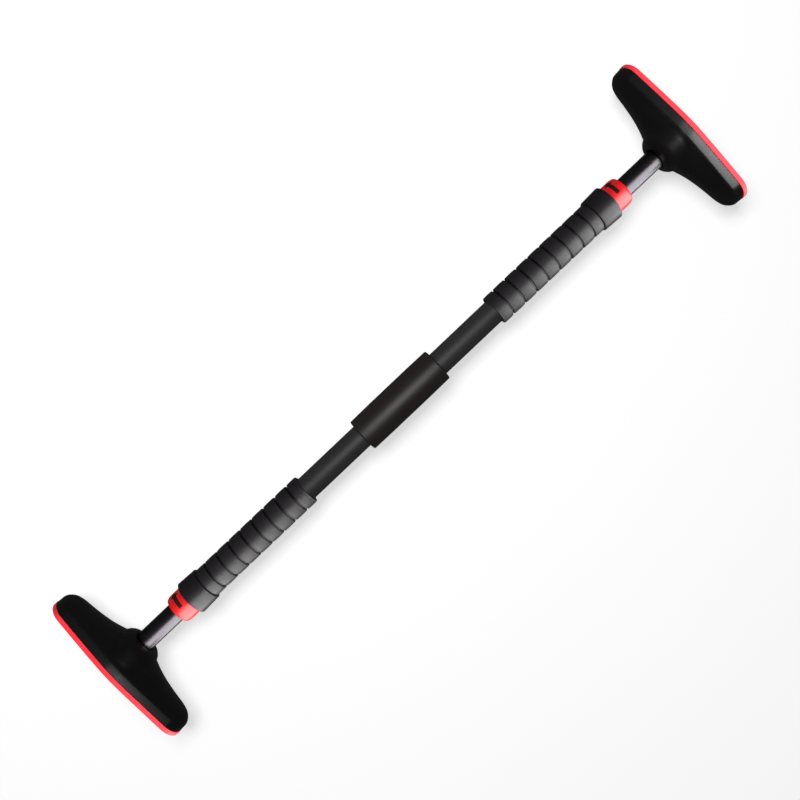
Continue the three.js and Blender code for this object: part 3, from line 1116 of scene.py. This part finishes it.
@dataclass
class FootShell:
    """The moulded shell of a foot, a hub that runs out into two long wings with a ridge along their backs.

    Heights are measured from the rim towards the middle of the bar. Everything is one closed surface: from
    the hub's face over the back to the crease, down the wall, over the rim, into the recess and the
    counterbore, and through the bolt's bore back up the socket. The hub is given in millimetres, as radius
    and height, and its rows as first radius, last radius and number. A pocket is given as its two ends along
    the foot, its depth from the rim and half its width.
    """

    side: Side
    shape: FootOutline = field(default_factory=FootOutline)
    columns: int = 224
    half_length: float = 111.9 * MM
    half_width: float = 34.4 * MM
    draft: float = 0.7 * MM
    draft_at_crease: float = 0.14
    crease: float = 11.2 * MM
    crease_round: float = 1.6 * MM
    crease_steps: int = 6
    rim_round: float = 0.5 * MM
    rim_steps: int = 4
    ridge_half_length: float = 95 * MM
    ridge_low: float = 20.5 * MM
    ridge_rise: float = 15.2 * MM
    ridge_flat: float = 29 * MM
    ridge_fall: float = 35.2 * MM
    crown_power: float = 2.5
    hub: tuple[Pair, ...] = (
        (16.8, 45.2),
        (19.6, 44.4),
        (23.0, 42.8),
        (26.2, 39.7),
        (28.2, 35.7),
        (29.8, 28.7),
        (31.4, 20.7),
        (33.0, 10.7),
    )
    hub_rows: tuple[tuple[float, float, int], ...] = ((15.6, 17, 4), (17.6, 31, 28))
    wing_rows: int = 41
    wing_crowding: float = 1.35
    halvings: int = 30
    fillet: float = 4 * MM
    mouth: float = 15 * MM
    mouth_edge: float = 0.3 * MM
    mouth_depth: float = 2 * MM
    socket: float = 13.3 * MM
    socket_depth: float = 24.8 * MM
    bolt: float = 4.3 * MM
    counterbore: float = 10 * MM
    counterbore_depth: float = 14.7 * MM
    recess_inset: float = 3.4 * MM
    recess_depth: float = 3.2 * MM
    recess_rows: int = 4
    screw_hole: float = 2.1 * MM
    screws: tuple[float, ...] = (-104 * MM, -26 * MM, 26 * MM, 104 * MM)
    screw_depth: float = 12.2 * MM
    pockets: tuple[tuple[float, float, float, float], ...] = (
        (34 * MM, 63 * MM, 19.7 * MM, 14 * MM),
        (70 * MM, 96 * MM, 14.7 * MM, 11 * MM),
    )
    pocket_round: float = 3 * MM

    def build(self, dresser: Dresser) -> None:
        """Makes the surface, then cuts its hidden pockets and screw holes.

        Args:
            dresser: Paints each piece and makes it stand for its node.
        """
        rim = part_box("right_foot_shell")[1].x
        turn = np.linspace(0, 2 * np.pi, self.columns, endpoint=False)
        rows = np.concatenate([self.back(turn), self.wall(turn), self.inside(turn)])
        grid = np.stack([rim - rows[..., 2], rows[..., 0], rows[..., 1] + AXIS_HEIGHT], -1)
        shell = closed_mesh(self.side.node("shell"), grid, self.side)
        holes = [post((rim - self.screw_depth, rim), self.screw_hole, y, self.side) for y in self.screws]
        cut_out(shell, holes + self.pocket_cutters(rim))
        dresser.fit(shell, self.side.node("foot_shell"), SHELL_PLASTIC)

    @staticmethod
    def circle(turn: np.ndarray, radius: float) -> np.ndarray:
        """Points once round a circle about the bar's axis."""
        return radius * np.stack([np.cos(turn), np.sin(turn)], -1)

    @staticmethod
    def level(ring: np.ndarray, height: float) -> np.ndarray:
        """A ring of points at one height."""
        return np.concatenate([ring, np.full((len(ring), 1), height)], -1)

    def height(self, y: np.ndarray, z: np.ndarray) -> np.ndarray:
        """The back's height over the rim.

        The ridge's height is low + rise * exp(-(distance - flat) / fall). A point's place between ridge and
        outline, from 0 to 1, is found by halving: it is where half the outline's width, for an outline that
        grows with that place, is the point's distance from the ridge. The wing's height is the crease's plus
        the ridge's share of 1 - place ** crown power. The hub's height comes from its profile by radius, and
        the two are joined by a smooth maximum, which leaves a fillet.

        Args:
            y: Distances along the foot.
            z: Distances across it from the bar's axis.

        Returns:
            The heights.
        """
        along, across = np.abs(y), np.abs(z)
        low, high = np.zeros_like(along), np.ones_like(along)
        full, wide = self.half_length - self.draft, self.half_width - self.draft
        for _ in range(self.halvings):
            place = (low + high) / 2
            reach = self.ridge_half_length + (full - self.ridge_half_length) * place
            inside = place * wide * self.shape.width(np.minimum(along / reach, 1)) < across
            inside |= along > reach
            low, high = np.where(inside, place, low), np.where(inside, high, place)
        fall = np.exp(-np.maximum(0, along - self.ridge_flat) / self.ridge_fall)
        ridge = self.ridge_low + self.ridge_rise * fall
        wing = self.crease + (ridge - self.crease) * (1 - high**self.crown_power)
        profile = np.array(self.hub) * MM
        hub = np.interp(np.hypot(y, z), profile[:, 0], profile[:, 1])
        gap = np.clip(1 - np.abs(hub - wing) / self.fillet, 0, 1)
        return np.maximum(hub, wing) + gap**2 * self.fillet / 4

    def crease_ring(self, turn: np.ndarray) -> np.ndarray:
        """The outline where the back turns into the crease."""
        inset = self.draft + self.crease_round
        return self.shape.ring(turn, self.half_length - inset, self.half_width - inset)

    def back(self, turn: np.ndarray) -> np.ndarray:
        """The rows from the hub's face over the back to just inside the crease.

        Args:
            turn: The angle of each column.

        Returns:
            Rows of points (along the foot, across it, height).
        """
        radii = np.concatenate([np.linspace(*row) for row in self.hub_rows]) * MM
        circles = [self.circle(turn, radius) for radius in radii]
        edge = self.crease_ring(turn)
        start = circles[-1]
        shares = np.linspace(0, 1, self.wing_rows + 1)[1:] ** self.wing_crowding
        spread = [start + (edge - start) * share for share in shares]
        rings = np.array(circles + spread)
        heights = self.height(rings[..., 0], rings[..., 1])
        return np.concatenate([rings, heights[..., None]], -1)

    def wall(self, turn: np.ndarray) -> np.ndarray:
        """The rows round the crease, down the drafted wall and over the rim into the recess.

        The crease and the rim are quadratic arcs: (1 - t)^2 times the first point, 2 t (1 - t) times the
        corner and t^2 times the last.

        Args:
            turn: The angle of each column.

        Returns:
            Rows of points (along the foot, across it, height).
        """
        inside = self.crease_ring(turn)
        outside = self.shape.ring(turn, self.half_length - self.draft, self.half_width - self.draft)
        first = np.concatenate([inside, self.height(inside[:, 0], inside[:, 1])[:, None]], -1)
        corner = self.level(outside, self.crease)
        last = self.level(outside, self.crease - self.crease_round)
        last[:, :2] *= 1 + self.draft * self.draft_at_crease / self.half_length
        over_crease = self.bent(first, corner, last, self.crease_steps)
        size = self.half_length, self.half_width
        foot = self.shape.ring(turn, *size)
        top = self.shape.ring(turn, *(half - self.rim_round for half in size))
        start = self.level(foot, self.rim_round)
        over_rim = self.bent(start, self.level(foot, 0), self.level(top, 0), self.rim_steps)
        return np.concatenate([over_crease[1:], over_rim])

    @staticmethod
    def bent(first: np.ndarray, corner: np.ndarray, last: np.ndarray, steps: int) -> np.ndarray:
        """Rows on a quadratic arc between two rings, pulled towards a third."""
        t = np.linspace(0, 1, steps + 1)[:, None, None]
        return (1 - t) ** 2 * first + 2 * t * (1 - t) * corner + t**2 * last

    def inside(self, turn: np.ndarray) -> np.ndarray:
        """The rows from the recess's edge to its floor, and through the bores back to the hub's mouth.

        Args:
            turn: The angle of each column.

        Returns:
            Rows of points (along the foot, across it, height).
        """
        inset = self.recess_inset
        lip = self.shape.ring(turn, self.half_length - inset, self.half_width - inset)
        bore = self.circle(turn, self.counterbore)
        shares = np.arange(self.recess_rows) / self.recess_rows
        floor = [self.level(lip + (bore - lip) * share, self.recess_depth) for share in shares]
        top = self.hub[0][1] * MM
        steps = (
            (self.counterbore, self.recess_depth),
            (self.counterbore, self.counterbore_depth),
            (self.bolt, self.counterbore_depth),
            (self.bolt, top - self.socket_depth),
            (self.socket, top - self.socket_depth),
            (self.socket, top - self.mouth_depth),
            (self.mouth, top - self.mouth_edge),
            (self.mouth + self.mouth_edge, top),
        )
        bores = [self.level(self.circle(turn, radius), height) for radius, height in steps]
        return np.array([self.level(lip, 0), *floor, *bores])

    def pocket_cutters(self, rim: float) -> list[bpy.types.Object]:
        """Round-cornered blocks, one for each hidden pocket behind the backing plate.

        Args:
            rim: Where the shell's rim is along the bar.

        Returns:
            The blocks to cut with.
        """
        made = []
        for near, far, depth, half_width in self.pockets:
            corners = (near, -half_width), (far, -half_width), (far, half_width), (near, half_width)
            for end in (-1, 1):
                ring = rounded([(end * y, z, self.pocket_round) for y, z in corners])
                x = np.array([rim - depth, rim - self.recess_depth / 2])[:, None] + 0 * ring[None, :, 0]
                y, z = ring[None, :, 0] + 0 * x, ring[None, :, 1] + AXIS_HEIGHT + 0 * x
                made.append(closed_mesh("cutter", capped(np.stack([x, y, z], -1)), self.side, ring=False))
        return made


@dataclass
class Pad:
    """The red rubber pad, with rounded edges and a tread of grooves across its face."""

    side: Side
    shape: FootOutline = field(default_factory=FootOutline)
    edge: float = 2 * MM
    edge_rows: int = 7
    back_edge: float = 0.5 * MM
    back_rows: int = 4
    end_rows: int = 22
    grooves: int = 19  # an odd number, so that one lies across the middle
    pitch: float = 10 * MM
    groove: float = 1.6 * MM
    flank: float = 0.12
    depth: float = 1.2 * MM
    between: tuple[float, ...] = (0.3, 0.5, 0.7)
    columns: tuple[float, ...] = (-1, -0.96, -0.87, -0.84, -0.5, 0, 0.5, 0.84, 0.87, 0.96)
    tread_width: float = 0.87
    tread_fade: float = 0.03

    def build(self, dresser: Dresser) -> None:
        """Makes the pad from sections across it, stationed along the foot.

        Args:
            dresser: Paints each piece and makes it stand for its node.
        """
        low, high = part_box("right_pad")
        half_length, half_width = (high.y - low.y) / 2, (high.z - low.z) / 2
        station = self.stations(half_length)
        share, inset, x = self.section(low.x, high.x)
        y = station[:, None] * (half_length - inset)
        z = self.shape.width(station)[:, None] * (half_width - inset) * share
        sunk = self.tread(y, share, inset)
        grid = np.stack([x[None, :] - sunk, y, z + AXIS_HEIGHT], -1)
        pad = closed_mesh(self.side.node("rubber_pad"), grid, self.side, ring=False)
        dresser.fit(pad, self.side.node("pad"))

    def stations(self, half_length: float) -> np.ndarray:
        """Fractions of half the length: close at the round ends, and on every edge of the tread.

        Args:
            half_length: Half the pad's length.

        Returns:
            The fractions in order, from one end to the other.
        """
        round_end = 1 - self.shape.end * (1 - np.sin(np.linspace(0, np.pi / 2, self.end_rows)))
        middle = (np.arange(self.grooves) - (self.grooves - 1) / 2) * self.pitch
        bottom = 0.5 - self.flank
        edges = (middle[:, None] + self.groove * np.array([-0.5, -bottom, bottom, 0.5])).ravel()
        between = (middle[:-1, None] + self.pitch * np.array(self.between)).ravel()
        fractions = np.concatenate([edges, between]) / (half_length - self.edge)
        inner = fractions[np.abs(fractions) < 1 - self.shape.end]
        return np.unique(np.concatenate([-round_end, inner, round_end]).round(6))

    def section(self, back: float, face: float) -> tuple[np.ndarray, np.ndarray, np.ndarray]:
        """One section's columns, once round it: over the face, down one edge, over the back and up the other.

        Args:
            back: The pad's back along the bar.
            face: The pad's face along the bar.

        Returns:
            Each column's share of half the width, its inset from the outline, and its place along the bar.
        """
        across = np.array(self.columns)
        large = np.linspace(0, np.pi / 2, self.edge_rows)
        small = np.linspace(0, np.pi / 2, self.back_rows)
        front = np.stack([self.edge * (1 - np.sin(large)), face - self.edge * (1 - np.cos(large))])
        rear = np.stack([self.back_edge * (1 - np.cos(small)), back + self.back_edge * (1 - np.sin(small))])
        over_face = np.stack([np.full(len(across), self.edge), np.full(len(across), face)])
        over_back = np.stack([np.full(len(across), self.back_edge), np.full(len(across), back)])
        down, up = [front, rear], [rear[:, -2::-1], front[:, :0:-1]]
        inset, x = np.concatenate([over_face, *down, over_back, *up], 1)
        far, near = (np.ones(sum(part.shape[1] for part in edge)) for edge in (down, up))
        return np.concatenate([across, far, -across, -near]), inset, x

    def tread(self, y: np.ndarray, share: np.ndarray, inset: np.ndarray) -> np.ndarray:
        """How deep the face is sunk: full in a groove, nothing between grooves or on the pad's border.

        Args:
            y: Places along the foot.
            share: Shares of half the width.
            inset: Distances in from the outline.

        Returns:
            The depth at each point, in metres.
        """
        offset = np.abs((y / self.pitch + 0.5) % 1 - 0.5) * self.pitch
        in_groove = np.clip((self.groove / 2 - offset) / (self.groove * self.flank), 0, 1)
        inner = np.clip((self.tread_width - np.abs(share)) / self.tread_fade, 0, 1) * (inset >= self.edge)
        ended = np.abs(y) < self.pitch * self.grooves / 2
        return self.depth * in_groove * inner * ended


# ----------------------------------------------------------------------------------------------------
# What is inside
# ----------------------------------------------------------------------------------------------------


@dataclass
class LeadScrew:
    """The lead screw. Its thread is right-handed on one side and left-handed on the other."""

    side: Side
    pitch: float = 5 * MM
    depth: float = 1.3 * MM
    plain: float = 38 * MM
    rows_each_turn: int = 12
    sides: int = 32
    crest: float = 0.25
    slope: float = 2
    hole: float = 2.8 * MM
    hole_at: float = 30 * MM

    def build(self, dresser: Dresser) -> None:
        """Winds the thread and drills the anchor pin's hole.

        Args:
            dresser: Paints each piece and makes it stand for its node.
        """
        span = Span.of("right_lead_screw")
        count = round((span.end - span.start) / self.pitch * self.rows_each_turn)
        outline = np.stack([np.linspace(span.start, span.end, count), np.full(count, span.radius)], -1)
        grid = turned(outline, self.sides)
        along = grid[..., 0] - span.start
        around = np.linspace(0, 1, self.sides, endpoint=False)[None, :]
        radius = span.radius - self.depth * self.flank((along / self.pitch + around) % 1, along, span)
        middle = 0, AXIS_HEIGHT
        grid[..., 1:] = (grid[..., 1:] - middle) * (radius / span.radius)[..., None] + middle
        screw = closed_mesh(self.side.node("thread_bar"), capped(grid), self.side, ring=False)
        reach = span.radius + self.depth
        cut_out(screw, [cross_drill(self.hole_at, self.hole, (-reach, reach), math.pi / 2, self.side)])
        dresser.fit(screw, self.side.node("lead_screw"))

    def flank(self, phase: np.ndarray, along: np.ndarray, span: Span) -> np.ndarray:
        """How far the thread is cut in, from 0 to 1.

        A trapezium in the phase: twice the distance from the crest's middle, less the crest, times the slope
        and held between 0 and 1. It fades in past the plain end and out at the far end.

        Args:
            phase: Where each point is within its turn of thread, from 0 to 1.
            along: How far it is from the plain end.
            span: Where the screw sits.

        Returns:
            The share of the thread's depth that is cut away.
        """
        cut = np.clip((np.abs(2 * phase - 1) - self.crest) * self.slope, 0, 1)
        fade_in = np.clip((along - self.plain) / self.pitch, 0, 1)
        fade_out = np.clip((span.end - span.start - along) / (self.pitch / 2), 0, 1)
        return cut * fade_in * fade_out


@dataclass
class TurnedPart:
    """A small turned piece inside the bar, with its outline measured from its node's inner end."""

    side: Side
    name: str
    node: str
    bore: float
    steps: tuple[Pair, ...]
    edge: float = 0.3 * MM
    edge_steps: int = 3
    sides: int = 64

    def build(self, dresser: Dresser) -> None:
        """Turns the piece from the outside steps between its two ends, and its bore.

        Args:
            dresser: Paints each piece and makes it stand for its node.
        """
        start = Span.of(f"right_{self.node}").start
        outside = [(start + along, radius, self.edge) for along, radius in self.steps]
        corners = [(outside[0][0], self.bore, self.edge), *outside, (outside[-1][0], self.bore, self.edge)]
        section = rounded(corners, self.edge_steps)
        piece = closed_mesh(self.side.node(self.name), turned(section, self.sides), self.side)
        dresser.fit(piece, self.side.node(self.node))


def turned_parts(side: Side) -> list[TurnedPart]:
    """The small turned pieces of one half, from a table of each one's bore and its steps in millimetres.

    Args:
        side: Which half they are on.

    Returns:
        The bush, the plug, the guide and the washer.
    """
    bush = ((0, 14.2), (24.3, 14.2), (24.3, 15.8), (27.3, 15.8))
    plug = ((0, 10.7), (19.7, 10.7))
    ring = ((0, 14.2), (11.4, 14.2))
    washer = ((0, 8.5), (1.7, 8.5))
    table = (
        ("bush", "tube_bush", 13.3, bush),
        ("plug", "rod_plug", 4.3, plug),
        ("guide", "guide_ring", 11.3, ring),
        ("washer", "foot_washer", 4.3, washer),
    )
    return [
        TurnedPart(side, name, node, bore * MM, tuple((x * MM, r * MM) for x, r in steps))
        for name, node, bore, steps in table
    ]


# ----------------------------------------------------------------------------------------------------
# Studio
# ----------------------------------------------------------------------------------------------------


@dataclass(frozen=True)
class Softbox:
    """A rectangular area light that faces a point."""

    name: str
    place: tuple[float, float, float]
    facing: tuple[float, float, float]
    width: float
    height: float
    radiance: float
    only: tuple[str, ...] = ()
    in_reflections: bool = True

    def build(self) -> None:
        """Adds the light, unseen by the camera. Its power is pi times its radiance times its area."""
        lamp = bpy.data.lights.new(self.name, "AREA")
        lamp.shape = "RECTANGLE"
        lamp.size, lamp.size_y = self.width, self.height
        lamp.energy = math.pi * self.radiance * self.width * self.height
        box = bpy.data.objects.new(self.name, lamp)
        box.location = self.place
        box.rotation_euler = (Vector(self.facing) - Vector(self.place)).to_track_quat("-Z", "Y").to_euler()
        box.visible_camera = False
        box.visible_glossy = self.in_reflections
        bpy.context.scene.collection.objects.link(box)
        if self.only:
            box.light_linking.receiver_collection = self.receivers()

    def receivers(self) -> bpy.types.Collection:
        """The pieces that the light is flagged for, found by the starts of their names.

        Returns:
            A collection of them.
        """
        lit = bpy.data.collections.new(f"{self.name}_receivers")
        for piece in bpy.data.objects:
            if piece.type == "MESH" and piece.name.startswith(self.only):
                lit.objects.link(piece)
        return lit


@dataclass
class Studio:
    """The pale floor, the lights and the camera."""

    camera_height: float = 1.058
    field_width: float = 1.008
    roll: float = math.radians(-43.45)
    floor_half: float = 8.0
    floor_glow: float = 0.63
    floor_white: Pair = (0.80, 0.82)
    floor_cloud: Grain = Grain(0.5)
    ambient: float = 0.06
    backdrop: float = 0.66

    def lights(self) -> list[Softbox]:
        """A strip over the middle, a broad key behind it, and a bank and a small top box for each end.

        Returns:
            The lights, each linked to the pieces that it is for.
        """
        middle = (0.0, 0.0, AXIS_HEIGHT)
        reach = ("grip", "cuff", "collar", "arrow", "steel_rod", "rubber_pad", "lock_collet", "bush")
        ends = tuple(side.node(part) for side in Side for part in reach)
        feet = {side: (side.node("shell"), side.node("rubber_pad")) for side in Side}
        return [
            Softbox("strip", (0.0, -0.1, 1.8), middle, 0.62, 1.1, 6.6, ("hand_tube", "sleeve")),
            Softbox("key", (0.0, 0.75, 2.0), middle, 1.5, 0.9, 5.6, in_reflections=False),
            Softbox("bank_right", (1.02, -1.2, 0.45), (0.42, 0, 0), 1.1, 2.8, 6.8, ends),
            Softbox("bank_left", (-1.02, -1.2, 0.45), (-0.42, 0, 0), 1.1, 2.8, 6.6, ends),
            Softbox("top_right", (1.16, -0.4, 1.5), (0.48, 0, 0), 0.5, 0.46, 21.0, feet[Side.RIGHT]),
            Softbox("top_left", (-1.16, -0.17, 1.5), (-0.48, 0, 0), 0.4, 0.08, 30.0, feet[Side.LEFT][:1]),
        ]

    def build(self) -> None:
        """Builds the camera, the floor and the backdrop. The lights come last, when the pieces exist."""
        self.build_camera()
        self.build_floor()
        self.build_backdrop()
        bpy.context.scene.view_settings.view_transform = "Standard"

    def build_lights(self) -> None:
        """Hangs the lights."""
        for box in self.lights():
            box.build()
            log.info("light %s", box.name)

    def build_camera(self) -> None:
        """Hangs the camera straight over the middle of the bar, looking down."""
        data = bpy.data.cameras.new("view")
        data.lens = data.sensor_width * self.camera_height / self.field_width
        camera = bpy.data.objects.new("view", data)
        camera.location = (0, 0, AXIS_HEIGHT + self.camera_height)
        camera.rotation_euler = (0, 0, self.roll)
        bpy.context.scene.collection.objects.link(camera)
        bpy.context.scene.camera = camera

    def build_floor(self) -> None:
        """Lays the floor, a white table lit from below that leaves no shine on the object."""
        half = self.floor_half
        corners = [(-half, -half, 0), (half, -half, 0), (half, half, 0), (-half, half, 0)]
        mesh = bpy.data.meshes.new("floor")
        mesh.from_pydata(corners, [], [(0, 1, 2, 3)])
        floor = bpy.data.objects.new("floor", mesh)
        graph = Graph(bpy.data.materials.new("floor_paint"))
        dim, bright = self.floor_white
        colour = graph.blend(graph.noise(self.floor_cloud), (dim,) * 3, (bright,) * 3)
        glow = {"Emission_Color": (1.0, 1.0, 1.0, 1.0), "Emission_Strength": self.floor_glow}
        mesh.materials.append(graph.finish(colour, rough=0.9, Specular_IOR_Level=0.1, **glow))
        floor.visible_glossy = False
        floor.visible_shadow = False
        bpy.context.scene.collection.objects.link(floor)

    def build_backdrop(self) -> None:
        """Surrounds the scene with a pale backdrop that itself gives only a little light."""
        graph = Graph(bpy.data.worlds.new("studio"))
        seen = graph.node("ShaderNodeLightPath", {}, {}, "Is Camera Ray")
        strength = self.ambient + seen * (self.backdrop - self.ambient)
        shader = graph.node("ShaderNodeBackground", {}, {"Color": (1.0, 1.0, 1.0, 1.0), "Strength": strength})
        bpy.context.scene.world = graph.end("ShaderNodeOutputWorld", shader)


def main() -> None:
    """Builds the studio and the object, dresses them, and hangs the lights."""
    logging.basicConfig(level=logging.INFO, format="%(message)s")
    studio = Studio()
    studio.build()
    dresser = Dresser()
    MainTube().build(dresser)
    CentreSleeve().build(dresser)
    for side in Side:
        for made in (RibbedGrip, LockHousing, LockCollar, Rod, FootShell, Pad, LeadScrew):
            made(side).build(dresser)
        for part in turned_parts(side):
            part.build(dresser)
    dresser.dress_rest()
    studio.build_lights()


if __name__ == "__main__":
    main()
